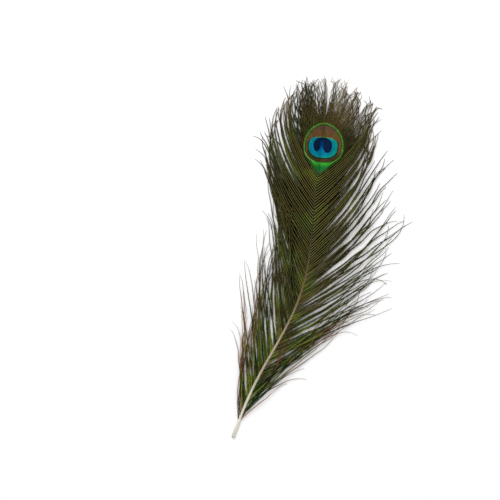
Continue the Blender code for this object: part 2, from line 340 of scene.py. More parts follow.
def shaft_angle(t):
    return math.degrees(math.atan(shaft_slope(t)))


def shaft_point(t):
    """The shaft's line on the surface, in metres: it runs on straight past the middle of the eye."""
    x = bow_at(min(t, 1.0)) - bow_at(GRIP / EYE_DISTANCE)
    if t > 1.0:
        x += (t - 1.0) * EYE_DISTANCE * shaft_slope(1.0)
    return np.array((x, EYE_DISTANCE * t - GRIP, 0.0))


def eye_middle():
    return shaft_point(1.0) + np.array((*EYE_OFFSET, 0.0)) * MM


def eye_axes():
    turn = math.radians(EYE_TURN)
    return np.array((math.cos(turn), -math.sin(turn), 0.0)), np.array((math.sin(turn), math.cos(turn), 0.0))


# Barbs


class Barb:
    """One barb: its line, its place along the shaft, and what sets it apart from the others."""

    def __init__(self, kind, side, t, stray, rng):
        wild = float(along(WILD, t))
        self.kind, self.side, self.t = kind, side, t
        self.packing = PACKED / float(along(kind.spacing, t))
        self.membrane = float(along(MEMBRANE_WIDTH, t))
        self.calm_length = float(along(CALM, t))
        self.stray = stray + side * float(along(PARTING, t))
        self.tone = rng.uniform(0.0, 1.0)
        self.shift = rng.normal(0.0, SHIFT_SPREAD)
        self.width = rng.uniform(*WIDTH_RANGE) * float(along(kind.sizes, t))
        self.launch = float(along(LAUNCH, t)) + wild * rng.normal(0.0, LAUNCH_SPREAD)
        self.bend = float(along(BEND, t)) + wild * rng.normal(0.0, BEND_SPREAD)
        spread = TAME_LENGTH_SPREAD + (1.0 - TAME_LENGTH_SPREAD) * wild
        self.stretch = 1.0 + spread * rng.normal(0.0, LENGTH_SPREAD)
        self.length = float(along(LENGTH, t)) * self.stretch * MM
        self.swing = rng.normal(0.0, float(along(kind.swing, t)))
        self.phase = rng.uniform(0.0, 2 * math.pi)
        self.curl = rng.normal(0.0, kind.curl)
        self.wave = rng.uniform(*kind.wave)
        self.arch = (ARCH + min(wild, 1.0) * rng.uniform(*ARCH_RANGE)) * MM
        self.tip_height = rng.uniform(*TIP_HEIGHTS) * MM
        self.line = self.grown()

    def grown(self):
        share = np.linspace(0.0, 1.0, BARB_STEPS + 1)
        heading = np.radians(self.headings((share[1:] + share[:-1]) / 2))
        step = self.length / BARB_STEPS
        line = np.zeros((BARB_STEPS + 1, 3))
        line[1:, 0] = np.cumsum(np.sin(heading)) * step
        line[1:, 1] = np.cumsum(np.cos(heading)) * step
        line += shaft_point(self.t)
        line[:, 2] = self.heights(share, line)
        return line

    def headings(self, share):
        """Where the barb heads at each share of its length: it bends, strays, swings, waves and curls."""
        lean = float(along(LEAN, self.t)) * (1.0 - LEAN_FADE * share)
        bent = self.bend * (share * self.stretch) ** BEND_GROWTH
        loose = np.clip((share - self.calm_length) / (1.0 - self.calm_length), 0.0, 1.0)
        swung = self.swing * loose * np.sin(2 * math.pi * SWINGS * loose + self.phase)
        ripple = np.sin(2 * math.pi * self.kind.waves * share + 2.0 * self.phase)
        waved = self.wave * loose**WAVE_GROWTH * ripple
        curled = self.curl * np.clip((share - CURL_START) / (1.0 - CURL_START), 0.0, 1.0) ** CURL_GROWTH
        course = shaft_angle(self.t) + lean + self.side * (self.launch - bent)
        return course + self.stray * loose + swung + waved + curled

    def heights(self, share, line):
        """From the shaft over an arch to the tip. An eye barb lies on the close vane until it leaves it."""
        root = ROOT_HEIGHT * SHAFT_HEIGHT * float(along(SHAFT_HALF_WIDTHS, self.t)) * MM
        free = root + (self.tip_height - root) * share**DESCENT + self.arch * np.sin(math.pi * share)
        if self.kind is LOOSE:
            return free
        left = np.clip((share - WEB_LEFT_FROM) / (WEB_LEFT_AT - WEB_LEFT_FROM), 0.0, 1.0)
        return (web_height(line) + ABOVE_WEB * MM) * (1 - left) + free * left


def web_height(points):
    """The height of the close vane's middle layer: a low dome over the eye."""
    away = np.linalg.norm(points[:, :2] - eye_middle()[:2], axis=1) / (WEB_DOME_RADIUS * MM)
    return (WEB_HEIGHT + WEB_DOME * (1.0 - np.clip(away, 0.0, 1.0) ** 2)) * MM


def egg_distance(u, v):
    """How far outside the bronze field a point is, in mm; below 0 inside. The shader has the same egg."""
    height = np.where(v > EGG_MIDDLE, EGG_ABOVE, EGG_BELOW)
    power = np.where(v > EGG_MIDDLE, EGG_POWER_ABOVE, EGG_POWER_BELOW)
    reach = (np.abs(u / EGG_HALF_WIDTH) ** power + np.abs((v - EGG_MIDDLE) / height) ** power) ** (1 / power)
    return (reach - 1.0) * EGG_HALF_WIDTH


def roots(start, stop, spacing):
    found = []
    t = start
    while t < stop:
        found.append(t)
        t += float(along(spacing, t)) * MM / EYE_DISTANCE
    return found


def clumps(places, rng):
    """How far each barb strays, in degrees: clumps stray together, and gaps open between them."""
    strays = []
    while len(strays) < len(places):
        together = np.clip(rng.normal(0.0, 1.0), -CLUMP_LIMIT, CLUMP_LIMIT)
        strays.extend(together + rng.normal(0.0, CLUMP_SPREAD) for _ in range(rng.integers(*CLUMP_SIZES)))
    return [stray * float(along(STRAY, t)) for stray, t in zip(strays, places)]


def streaks(count, rng):
    """Random values from 0 to 1 that change over a few barbs, so that neighbours look alike."""
    noise = rng.uniform(-1.0, 1.0, count + STREAK_BARBS - 1)
    values = np.convolve(noise, np.ones(STREAK_BARBS) / STREAK_BARBS, mode="valid")
    return np.clip(0.5 + STREAK_CONTRAST * values, 0.0, 1.0)


def loose_barbs(side, rng):
    places = roots(LOWEST_BARB, LOWEST_EYE_BARB, SPACING)
    places = [t + float(along(WILD, t)) * rng.normal(0.0, ROOT_SPREAD) * MM / EYE_DISTANCE for t in places]
    return [Barb(LOOSE, side, t, stray, rng) for t, stray in zip(places, clumps(places, rng))]


def eye_barbs(side, rng):
    places = roots(LOWEST_EYE_BARB, HIGHEST_BARB, EYE_SPACING)
    barbs = [Barb(EYE, side, t, stray, rng) for t, stray in zip(places, clumps(places, rng))]
    for barb, streak in zip(barbs, streaks(len(barbs), rng)):
        barb.tone = OWN_TONE * barb.tone + (1.0 - OWN_TONE) * streak
    return barbs


class Joined:
    """Gathers many small shapes into one mesh, with a bake map that lays each barb out straight in a row."""

    def __init__(self, barbs):
        self.rows, self.row, self.count = len(barbs), 0, 0
        self.longest = max(barb.length for barb in barbs)
        self.widest = max(barb.width for barb in barbs) * BARBULE_LENGTHS[0][1] * MM
        self.points, self.faces, self.maps = [], [], []
        self.fields = {"tone": [], "shift": [], "core": [], "share": [], "eye": [], "fan": []}

    def add(self, barb, points, faces, lengthwise, across, **fields):
        """lengthwise runs from 0 to 1 along the row and across from -1 to 1 over it."""
        self.points.append(points)
        self.faces.append(faces + self.count)
        self.count += len(points)
        u = BAKE_MARGIN + (1 - 2 * BAKE_MARGIN) * np.clip(lengthwise, 0.0, 1.0)
        v = (self.row + 0.5 + BAKE_ROW * np.clip(across, -1.0, 1.0)) / self.rows
        self.maps.append(np.stack((u, v), axis=1))
        fields = {"tone": barb.tone, "shift": barb.shift, "eye": float(barb.kind is EYE), **fields}
        for name, values in self.fields.items():
            values.append(np.broadcast_to(fields[name], len(points)))

    def next_row(self):
        self.row += 1

    def made(self, name, material):
        points, faces = np.concatenate(self.points), np.concatenate(self.faces)
        points[:, 2] = np.maximum(points[:, 2], FLOOR_GAP * MM)
        mesh = bpy.data.meshes.new(name)
        mesh.vertices.add(len(points))
        mesh.vertices.foreach_set("co", points.ravel())
        mesh.loops.add(faces.size)
        mesh.loops.foreach_set("vertex_index", faces.ravel())
        mesh.polygons.add(len(faces))
        mesh.polygons.foreach_set("loop_start", np.arange(0, faces.size, 3))
        mesh.update(calc_edges=True)
        bake = mesh.uv_layers.new(name="OFBake")
        bake.data.foreach_set("uv", np.concatenate(self.maps)[faces.ravel()].ravel())
        for field, values in self.fields.items():
            attribute = mesh.attributes.new(field, "FLOAT", "POINT")
            attribute.data.foreach_set("value", np.concatenate(values).astype(np.float32))
        mesh.materials.append(material)
        return placed(name, mesh)


def placed(name, data):
    made = bpy.data.objects.new(name, data)
    bpy.context.scene.collection.objects.link(made)
    return made


def meshed(name, shape, *materials):
    mesh = bpy.data.meshes.new(name)
    shape.to_mesh(mesh)
    shape.free()
    for material in materials:
        mesh.materials.append(material)
    return placed(name, mesh)


def directions(line):
    """Unit vectors along a line, to its right on the surface, and up from it."""
    ahead = np.gradient(line, axis=0)
    ahead /= np.linalg.norm(ahead, axis=1, keepdims=True)
    right = np.stack((ahead[:, 1], -ahead[:, 0], np.zeros(len(line))), axis=1)
    right /= np.linalg.norm(right, axis=1, keepdims=True)
    return ahead, right, np.cross(right, ahead)


def resampled(rows, given, wanted):
    """Rows of three values at the places given, at the places wanted."""
    return np.stack([np.interp(wanted, given, rows[:, axis]) for axis in range(3)], axis=1)


def add_core(joined, barb):
    """The barb's own stem: a thin tapering rod along its line."""
    line = barb.line
    _, right, up = directions(line)
    share = np.linspace(0.0, 1.0, len(line))
    radii = along(barb.kind.radii, share)[:, None] * MM
    turns = [2 * math.pi * (k + 0.5) / CORE_SIDES for k in range(CORE_SIDES)]
    rings = np.stack([line + radii * (math.cos(a) * right + math.sin(a) * up) for a in turns], axis=1)
    i = np.arange(len(line) - 1)[:, None] * CORE_SIDES
    k = np.arange(CORE_SIDES)[None, :]
    following = (k + 1) % CORE_SIDES
    a, b, c, d = i + k, i + following, i + CORE_SIDES + following, i + CORE_SIDES + k
    faces = np.concatenate([np.stack(corners, axis=-1).reshape(-1, 3) for corners in ((a, c, b), (a, d, c))])
    across = np.tile([BAKE_CORE * math.cos(a) for a in turns], len(line))
    around = np.repeat(share, CORE_SIDES)
    lengthwise = around * barb.length / joined.longest
    joined.add(barb, rings.reshape(-1, 3), faces, lengthwise, across, core=1.0, share=around, fan=0.0)


def add_membrane(joined, barb, start):
    """The bases of a barb's blades, grown together: a strip on each side, up to where the barb runs loose."""
    places = barb.kind.membrane
    whole = np.linspace(0.0, 1.0, len(barb.line))
    kept = (whole >= start) & (whole <= places[-1][0])
    share, line = whole[kept], barb.line[kept]
    _, right, up = directions(line)
    reach = barb.width * along(barb.kind.lengths, share) * MM
    part = barb.membrane * along(places, share)
    wide = part * reach * math.sin(math.radians(BARBULE_ANGLE))
    first = 2 * np.arange(len(share) - 1)[:, None]
    both = np.repeat(share, 2)
    fan = np.stack((np.zeros(len(share)), barb.packing * part), axis=1).ravel()
    for side in (-1, 1):
        outer = line + wide[:, None] * (side * right - MEMBRANE_DROOP * up)
        corners = np.array(((0, 1, 3), (0, 3, 2)))[:, ::side]
        faces = (first[:, :, None] + corners[None]).reshape(-1, 3)
        blades = np.full(len(share), BAKE_BLADES)
        across = side * np.stack((blades, blades + part * reach / joined.widest), axis=1).ravel()
        points = np.stack((line, outer), axis=1).reshape(-1, 3)
        lengthwise = both * barb.length / joined.longest
        joined.add(barb, points, faces, lengthwise, across, core=0.0, share=both, fan=fan)


def add_barbules(joined, barb, rng, start):
    """The fine blades on both sides of a barb: each is a bent quad that ends in a point."""
    lines = (barb.line, *directions(barb.line))
    share = np.linspace(0.0, 1.0, len(barb.line))
    count = int(barb.length * (1 - start) / (BARBULE_STEP * MM))
    turn = math.radians(BARBULE_CURL)
    for side in (-1, 1):
        place = start + (1 - start) * (np.arange(count) + rng.uniform(*BARBULE_STEP_RANGE, count)) / count
        root, forward, out, above = [resampled(rows, share, place) for rows in lines]
        angle = np.radians(BARBULE_ANGLE + rng.normal(0.0, BARBULE_ANGLE_SPREAD, count))[:, None]
        droop = rng.normal(BARBULE_DROOP, BARBULE_DROOP_SPREAD, count)[:, None] * above
        reach = barb.width * along(barb.kind.lengths, place) * rng.uniform(*BARBULE_REACH_RANGE, count)
        reach = reach[:, None] * MM
        twist = rng.normal(0.0, BARBULE_TWIST_SPREAD, count)[:, None] * above
        half = 0.5 * BARBULE_WIDTH * MM * (forward + twist)
        inner = np.cos(angle) * forward + side * np.sin(angle) * out
        outer = np.cos(angle - turn) * forward + side * np.sin(angle - turn) * out
        bent = root + 0.5 * reach * (inner - 0.5 * droop)
        tip = bent + 0.5 * reach * (outer - OUTER_DROOP * droop)
        points = np.stack((root - half, root + half, bent - half, bent + half, tip), axis=1)
        faces = (np.arange(count)[:, None, None] * 5 + BARBULE_FACES[:, ::side]).reshape(-1, 3)
        leaning = BARBULE_FAN * np.cos(angle - turn / 2 * (BARBULE_FAN == 1.0))  # the curl moves only the tip
        lengthwise = (place * barb.length)[:, None] + BARBULE_RUN * BARBULE_WIDTH * MM + reach * leaning
        across = side * (BAKE_BLADES + reach / joined.widest * BARBULE_FAN)
        tone = np.clip(barb.tone + rng.normal(0.0, BARBULE_TONE_SPREAD, count), 0.0, 1.0)
        corners = len(BARBULE_FAN)
        joined.add(barb, points.reshape(-1, 3), faces, lengthwise.ravel() / joined.longest, across.ravel(),
                   tone=np.repeat(tone, corners), core=0.0, share=np.repeat(place, corners),
                   fan=barb.packing * np.tile(BARBULE_FAN, count))


def make_barbs(name, barbs, material, rng, start=0.0):
    joined = Joined(barbs)
    for barb in barbs:
        add_membrane(joined, barb, start)
        add_core(joined, barb)
        add_barbules(joined, barb, rng, start)
        joined.next_row()
    return joined.made(name, material)


# The close vane of the eye


def web_lines(barbs):
    """Where each eye barb runs inside the close vane: equally many points, from root to edge."""
    middle, (across, up) = eye_middle(), eye_axes()
    share = np.linspace(0.0, 1.0, WEB_SAMPLES)
    lines = [resampled(barb.line, np.linspace(0.0, 1.0, len(barb.line)), share) for barb in barbs]
    ends = []
    for line in lines:
        u, v = (line - middle) @ across / MM, (line - middle) @ up / MM
        inside = np.nonzero(egg_distance(u, v) < WEB_MARGIN)[0]
        ends.append(share[inside[-1]] if len(inside) else np.nan)
    known = np.nonzero(~np.isnan(ends))[0]
    ends = np.interp(np.arange(len(ends)), known, np.array(ends)[known])
    places = np.linspace(0.0, 1.0, WEB_ROWS)
    return np.array([resampled(line, share, places * end) for line, end in zip(lines, ends)])


def web_columns(barbs, places):
    """The sheet's grid of points. places counts the barbs, and a column between two barbs is their mean."""
    lines = web_lines(barbs)
    low = np.minimum(places.astype(int), len(barbs) - 2)
    part = (places - low)[:, None, None]
    columns = lines[low] * (1 - part) + lines[low + 1] * part
    wide, tall = columns.shape[:2]
    heights = web_height(columns.reshape(-1, 3)).reshape(wide, tall)
    ridges = WEB_RIDGE * np.cos(2 * math.pi * places)[:, None]
    rim = np.linspace(0.0, 1.0, tall)[None, :] ** WEB_RIM_POWER
    columns[:, :, 2] = heights + (ridges - WEB_RIM_DROP * rim) * MM
    return columns


def web_fields(barbs, places):
    """What the material reads, for each column."""
    tone, shift, packing = [
        np.interp(places, range(len(barbs)), values)
        for values in zip(*((barb.tone, barb.shift, barb.packing) for barb in barbs))
    ]
    # core is 1 on a barb and 0 between two: the material paints a highlight on the crests from it, and shade
    # between barbs from fan
    core = 0.5 + 0.5 * np.cos(2 * math.pi * places)
    return {"tone": tone, "shift": shift, "core": core, "fan": 0.5 * (1.0 - core) * packing}


def lay_web(shape, columns, fields):
    """Moves two grids' vertices to the columns, the second grid below the first, and writes their fields."""
    wide, tall = columns.shape[:2]
    shape.verts.ensure_lookup_table()
    layers = {name: shape.verts.layers.float.new(name) for name in (*fields, "share", "eye")}
    for index, vert in enumerate(shape.verts):
        under, within = divmod(index, wide * tall)
        column, row = divmod(within, tall)
        x, y, z = columns[column, row]
        vert.co = (x, y, z - under * WEB_THICKNESS * MM)
        for name, values in fields.items():
            vert[layers[name]] = values[column]
        vert[layers["share"]] = row / tall
        vert[layers["eye"]] = 1.0


def map_web(shape, columns):
    """Each layer gets its material, and its half of the bake map as seen from above."""
    wide, tall = columns.shape[:2]
    low, high = columns.min(axis=(0, 1)), columns.max(axis=(0, 1))
    bake = shape.loops.layers.uv.new("OFBake")
    for face in shape.faces:
        under = int(face.verts[0].index >= wide * tall)
        face.smooth = True
        face.material_index = under
        for loop in face.loops:
            across = (loop.vert.co.x - low[0]) / (high[0] - low[0])
            upward = (loop.vert.co.y - low[1]) / (high[1] - low[1])
            u = BAKE_MARGIN + (0.5 - 2 * BAKE_MARGIN) * across + 0.5 * under
            loop[bake].uv = (u, BAKE_MARGIN + (1 - 2 * BAKE_MARGIN) * upward)


def make_web(left, right, top_material, under_material):
    """One ribbed sheet: a grid whose columns follow the eye barbs, up the left side and down the right."""
    barbs = left + right[::-1]
    places = np.arange((len(barbs) - 1) * WEB_COLUMNS_PER_BARB + 1) / WEB_COLUMNS_PER_BARB
    columns = web_columns(barbs, places)
    wide, tall = columns.shape[:2]
    shape = bmesh.new()
    for _ in range(2):
        bmesh.ops.create_grid(shape, x_segments=tall - 1, y_segments=wide - 1, size=1.0)
    lay_web(shape, columns, web_fields(barbs, places))
    map_web(shape, columns)
    bmesh.ops.recalc_face_normals(shape, faces=shape.faces)
    flip = [face for face in shape.faces if (face.normal.z > 0) == (face.material_index == 1)]
    bmesh.ops.reverse_faces(shape, faces=flip)
    bmesh.ops.bridge_loops(shape, edges=[edge for edge in shape.edges if edge.is_boundary])
    return meshed("eye_vane", shape, top_material, under_material)


# The shaft


def shaft_section(angle):
    """Across and up for a half width of 1: a round back over a flat underside with a shallow groove."""
    across, up = math.cos(angle), math.sin(angle)
    if up < UNDERSIDE_START:
        return UNDERSIDE_WIDTH * across, GROOVE_DEPTH * math.exp(-((across / GROOVE_WIDTH) ** 2))
    return across, SHAFT_HEIGHT * (SHAFT_WIDEST + (1.0 - SHAFT_WIDEST) * up)


def shaft_frame(t):
    """Where the shaft's section goes: its X across, its Z up, its size the half width."""
    size = float(along(SHAFT_HALF_WIDTHS, t)) * MM
    turn = Matrix.Rotation(-math.radians(shaft_angle(t)), 4, "Z")
    return Matrix.Translation(Vector(shaft_point(t))) @ turn @ Matrix.Diagonal((size, 1.0, size, 1.0))


def make_shaft(material):
    """The section, extruded from ring to ring along the shaft's line, with the pith sunk into the cut end."""
    shape = bmesh.new()
    bmesh.ops.create_circle(shape, cap_ends=True, segments=SHAFT_SIDES, radius=1.0)
    for vert in shape.verts:
        across, up = shaft_section(math.atan2(vert.co.y, vert.co.x))
        vert.co = (across, 0.0, up)
    cut_end, edges, verts, last = list(shape.faces), list(shape.edges), list(shape.verts), Matrix.Identity(4)
    for i in range(SHAFT_RINGS + 1):
        now = shaft_frame(SHAFT_END * i / SHAFT_RINGS)
        if i:
            grown = bmesh.ops.extrude_edge_only(shape, edges=edges)["geom"]
            edges = [item for item in grown if isinstance(item, bmesh.types.BMEdge)]
            verts = [item for item in grown if isinstance(item, bmesh.types.BMVert)]
        bmesh.ops.transform(shape, matrix=now @ last.inverted(), verts=verts)
        last = now
    bmesh.ops.contextual_create(shape, geom=edges)
    bmesh.ops.inset_individual(shape, faces=cut_end, thickness=PITH_INSET, depth=-PITH_DEPTH)
    bmesh.ops.recalc_face_normals(shape, faces=shape.faces)
    for face in shape.faces:
        face.smooth = len(face.verts) == 4
    return meshed("shaft", shape, material)


# Materials


def linear(colour):
    channels = [c / 255 for c in colour]
    return tuple(c / 12.92 if c <= 0.04045 else ((c + 0.055) / 1.055) ** 2.4 for c in channels) + (1.0,)


class Nodes:
    """Short ways to add linked nodes to one tree. Each way returns the new node's output socket."""

    def __init__(self, tree):
        self.tree = tree

    def feed(self, socket, value):
        if isinstance(value, bpy.types.NodeSocket):
            self.tree.links.new(value, socket)
        else:
            socket.default_value = value

    def node(self, kind, **settings):
        made = self.tree.nodes.new(kind)
        for name, value in settings.items():
            setattr(made, name, value)
        return made

    def math(self, operation, *values):
        made = self.node("ShaderNodeMath", operation=operation)
        for socket, value in zip(made.inputs, values):
            self.feed(socket, value)
        return made.outputs[0]

    def product(self, first, *others):
        for other in others:
            first = self.math("MULTIPLY", first, other)
        return first

    def vector(self, operation, first, second, output="Vector"):
        made = self.node("ShaderNodeVectorMath", operation=operation)
        self.feed(made.inputs[0], first)
        self.feed(made.inputs[1], second)
        return made.outputs[output]

    def part_along(self, vector, axis):
        return self.vector("DOT_PRODUCT", vector, axis, output="Value")

    def step(self, value, low, high, bottom=0.0, top=1.0):
        """bottom below low, top above high, and smooth between them."""
        made = self.node("ShaderNodeMapRange", interpolation_type="SMOOTHSTEP")
        words = ("Value", "From Min", "From Max", "To Min", "To Max")
        for word, each in zip(words, (value, low, high, bottom, top)):
            self.feed(made.inputs[word], each)
        return made.outputs["Result"]

    def mix(self, factor, first, second):
        """first and second are colour sockets, or colours from 0 to 255."""
        made = self.node("ShaderNodeMix", data_type="RGBA")
        self.feed(made.inputs[0], factor)
        for index, colour in ((6, first), (7, second)):
            self.feed(made.inputs[index], linear(colour) if isinstance(colour, tuple) else colour)
        return made.outputs[2]

    def mix_value(self, factor, first, second):
        made = self.node("ShaderNodeMix", data_type="FLOAT")
        for index, value in ((0, factor), (2, first), (3, second)):
            self.feed(made.inputs[index], value)
        return made.outputs[0]

    def scaled(self, colour, factor):
        made = self.node("ShaderNodeVectorMath", operation="SCALE")
        self.feed(made.inputs[0], colour)
        self.feed(made.inputs["Scale"], factor)
        return made.outputs["Vector"]

    def noise(self, position, scale, detail=2.0, stretch=(1.0, 1.0, 1.0)):
        """Noise from 0 to 1 with features about 1 / scale apart, in the position's own unit."""
        made = self.node("ShaderNodeTexNoise")
        self.feed(made.inputs["Vector"], self.vector("MULTIPLY", position, stretch))
        made.inputs["Scale"].default_value = scale
        made.inputs["Detail"].default_value = detail
        return made.outputs["Fac"]

    def attribute(self, name):
        return self.node("ShaderNodeAttribute", attribute_name=name).outputs["Fac"]

    def group(self, tree, **values):
        made = self.node("ShaderNodeGroup", node_tree=tree)
        for name, value in values.items():
            self.feed(made.inputs[name], value)
        return made.outputs


def new_group(name, inputs, outputs):
    """An empty shader group with named sockets: the tree, its inputs, and a call that joins an output."""
    tree = bpy.data.node_groups.new(name, "ShaderNodeTree")
    kinds = {"value": "NodeSocketFloat", "vector": "NodeSocketVector", "colour": "NodeSocketColor"}
    for side, sockets in (("INPUT", inputs), ("OUTPUT", outputs)):
        for word, kind in sockets.items():
            tree.interface.new_socket(word, in_out=side, socket_type=kinds[kind])
    given, wanted = tree.nodes.new("NodeGroupInput"), tree.nodes.new("NodeGroupOutput")

    def put_out(word, socket):
        tree.links.new(socket, wanted.inputs[word])

    return tree, given.outputs, put_out


def eye_frame_group():
    """U and V of a point in the eye's own frame, in mm, each barb's markings moved along it by its shift."""
    inputs, outputs = {"Position": "vector", "Shift": "value"}, {"U": "value", "V": "value"}
    tree, given, put_out = new_group("eye frame", inputs, outputs)
    nodes = Nodes(tree)
    from_middle = nodes.vector("SUBTRACT", given["Position"], tuple(eye_middle()))
    grain = nodes.math("SUBTRACT", nodes.noise(given["Position"], RAGGED_GRAIN), 0.5)
    grow = nodes.math("ADD", nodes.math("ADD", given["Shift"], nodes.product(grain, RAGGED)), 1.0)
    for word, axis, fixed in zip("UV", eye_axes(), (0.0, FAN_ROOT)):
        value = nodes.part_along(from_middle, tuple(axis / MM))
        moved = nodes.product(nodes.math("SUBTRACT", value, fixed), grow)
        put_out(word, nodes.math("ADD", moved, fixed))
    return tree


def oval_group():
    """How far outside an oval a point is, in mm: its height and squareness differ above and below."""
    inputs = ("U", "V", "Middle U", "Middle V", "Half Width", "Above", "Below", "Power Above", "Power Below")
    tree, given, put_out = new_group("oval", dict.fromkeys(inputs, "value"), {"Outside": "value"})
    nodes = Nodes(tree)
    u = nodes.math("ABSOLUTE", nodes.math("SUBTRACT", given["U"], given["Middle U"]))
    rise = nodes.math("SUBTRACT", given["V"], given["Middle V"])
    upper = nodes.math("GREATER_THAN", rise, 0.0)
    height = nodes.mix_value(upper, given["Below"], given["Above"])
    power = nodes.mix_value(upper, given["Power Below"], given["Power Above"])
    wide = nodes.math("POWER", nodes.math("DIVIDE", u, given["Half Width"]), power)
    tall = nodes.math("POWER", nodes.math("DIVIDE", nodes.math("ABSOLUTE", rise), height), power)
    reach = nodes.math("POWER", nodes.math("ADD", wide, tall), nodes.math("DIVIDE", 1.0, power))
    put_out("Outside", nodes.product(nodes.math("SUBTRACT", reach, 1.0), given["Half Width"]))
    return tree


def oval(nodes, tree, u, v, middle, *form):
    made = nodes.node("ShaderNodeGroup", node_tree=tree)
    for socket, value in zip(made.inputs, (u, v, *middle, *form)):
        nodes.feed(socket, value)
    return made.outputs["Outside"]


def add_triangle(nodes, u, v, fan, colour):
    """The green triangle below the eye: it frays along the barbs and ends in a greenish haze."""
    from_midrib = nodes.math("SUBTRACT", u, MIDRIB)
    above_apex = nodes.math("SUBTRACT", v, APEX)
    green = nodes.mix(nodes.step(v, *TRIANGLE_LIT), TRIANGLE_MIDDLE, TRIANGLE_GREEN)
    green = nodes.mix(nodes.step(v, *TRIANGLE_DIM), green, TRIANGLE_LOW)
    green = nodes.mix(nodes.step(nodes.math("ABSOLUTE", from_midrib), *MIDRIB_LINE), green, DARK_LINE)
    left = nodes.math("SUBTRACT", nodes.product(from_midrib, -1.0), nodes.product(above_apex, WEDGE_LEFT))
    right = nodes.math("SUBTRACT", from_midrib, nodes.product(above_apex, WEDGE_RIGHT))
    outside = nodes.math("MAXIMUM", left, right)
    on_barb = nodes.step(fan, *ON_BARB)
    frayed = nodes.product(nodes.step(outside, *TRIANGLE_FRAY), on_barb)
    inside = nodes.math("MAXIMUM", nodes.step(outside, *TRIANGLE_EDGE), frayed)
    below_eye = nodes.step(v, *BELOW_EYE)
    haze = nodes.product(nodes.step(outside, *TRIANGLE_HAZE), on_barb, below_eye)
    colour = nodes.mix(haze, colour, RING_GREEN)
    return nodes.mix(nodes.product(inside, below_eye), colour, green)


def add_ring(nodes, u, v, position, blotch, egg, colour):
    """The green ring round the bronze, with painted glints on it, a rusty tint outside it and a dark line
    inside.
    """
    at_side = nodes.step(nodes.math("ABSOLUTE", u), *LIGHT_RING_WIDTH)
    light = nodes.math("MAXIMUM", nodes.step(v, *LIGHT_RING_HEIGHT), at_side)
    # Painted glints speckled over the ring, and a painted glint on its lower left.
    glints = nodes.step(nodes.noise(position, GLINT_GRAIN), *RING_GLINTS)
    ring = nodes.mix(light, TRIANGLE_GREEN, nodes.mix(glints, RING_GREEN, RING_PAINTED_GLINT))
    low = nodes.product(nodes.step(v, *GLINT_LOW), nodes.step(v, *GLINT_HIGH))
    ring = nodes.mix(nodes.product(low, nodes.step(u, *GLINT_LEFT)), ring, RING_PAINTED_GLINT)
    tinted = nodes.product(nodes.step(egg, *RING_TINT), nodes.step(v, *TINT_HEIGHT))
    tint = nodes.mix(nodes.step(blotch, *TINT_BLOTCHES), RING_RUST, RING_SHADE)
    colour = nodes.mix(tinted, colour, tint)
    colour = nodes.mix(nodes.step(egg, *RING_EDGE), colour, ring)
    return nodes.mix(nodes.step(egg, *RING_LINE), colour, DARK_LINE)


def add_bronze(nodes, v, blotch, egg, colour):
    bronze = nodes.mix(nodes.step(v, *PALE_BRONZE), BRONZE_MIDDLE, BRONZE_TOP)
    rust = nodes.product(nodes.step(blotch, *RUST_BLOTCHES), nodes.step(v, *RUSTY_BRONZE))
    bronze = nodes.mix(rust, bronze, BRONZE_RUST)
    bronze = nodes.mix(nodes.step(v, *LOW_BRONZE), bronze, BRONZE_LOW)
    return nodes.mix(nodes.step(egg, *BRONZE_EDGE), colour, bronze)


def add_patch(nodes, u, v, patch, in_patch, colour):
    """The cyan patch: teal on the right, green along its upper rim, with a dark line round it."""
    outlined = nodes.product(nodes.step(patch, *PATCH_OUTLINE), nodes.step(v, *OUTLINE_HEIGHT))
    colour = nodes.mix(outlined, colour, DARK_LINE)
    tealward = nodes.math("ADD", patch, nodes.step(u, *TEAL_WIDTH))
    cyan = nodes.mix(nodes.step(tealward, *PATCH_TEAL), INNER_CYAN, OUTER_TEAL)
    beside = nodes.step(nodes.math("ABSOLUTE", u), *RIM_WIDTH)
    rim = nodes.product(nodes.step(v, *RIM_HEIGHT), nodes.step(patch, *PATCH_RIM), beside)
    cyan = nodes.mix(rim, cyan, RIM_GREEN)
    return nodes.mix(in_patch, colour, cyan)


def add_heart(nodes, u, v, heart, in_patch, colour):
    """The navy heart: an oval with a bright blue notch below, which leaves two rounded lobes."""
    beside = nodes.math("ABSOLUTE", nodes.math("SUBTRACT", u, NOTCH_MIDDLE))
    half_notch = nodes.product(nodes.math("SUBTRACT", NOTCH_TOP, v), NOTCH_SPREAD)
    notch = nodes.math("SUBTRACT", beside, half_notch)
    inward = nodes.math("MAXIMUM", nodes.math("SUBTRACT", LOBE_ROUNDING, heart), LEAST)
    outward = nodes.math("MAXIMUM", nodes.math("ADD", LOBE_ROUNDING, notch), LEAST)
    squares = [nodes.math("POWER", each, 2.0) for each in (inward, outward)]
    corner = nodes.math("SQRT", nodes.math("ADD", *squares))
    lobes = nodes.math("DIVIDE", nodes.product(inward, outward), corner)
    streak = nodes.product(nodes.step(beside, *STREAK_WIDTH), nodes.step(v, *STREAK_HEIGHT))
    navy = nodes.mix(streak, NAVY, NAVY_STREAK)
    violet = nodes.product(nodes.step(beside, *VIOLET_WIDTH), nodes.step(v, *VIOLET_HEIGHT))
    navy = nodes.mix(violet, navy, LOBE_VIOLET)
    navy = nodes.mix(nodes.step(heart, *HEART_EDGE_SHADE), navy, HEART_EDGE)
    near_notch = nodes.product(nodes.step(notch, *NOTCH_EDGE), nodes.step(v, *NOTCH_LIGHT), in_patch)
    colour = nodes.mix(near_notch, colour, NOTCH_BLUE)
    return nodes.mix(nodes.step(lobes, *LOBE_EDGE), colour, navy)


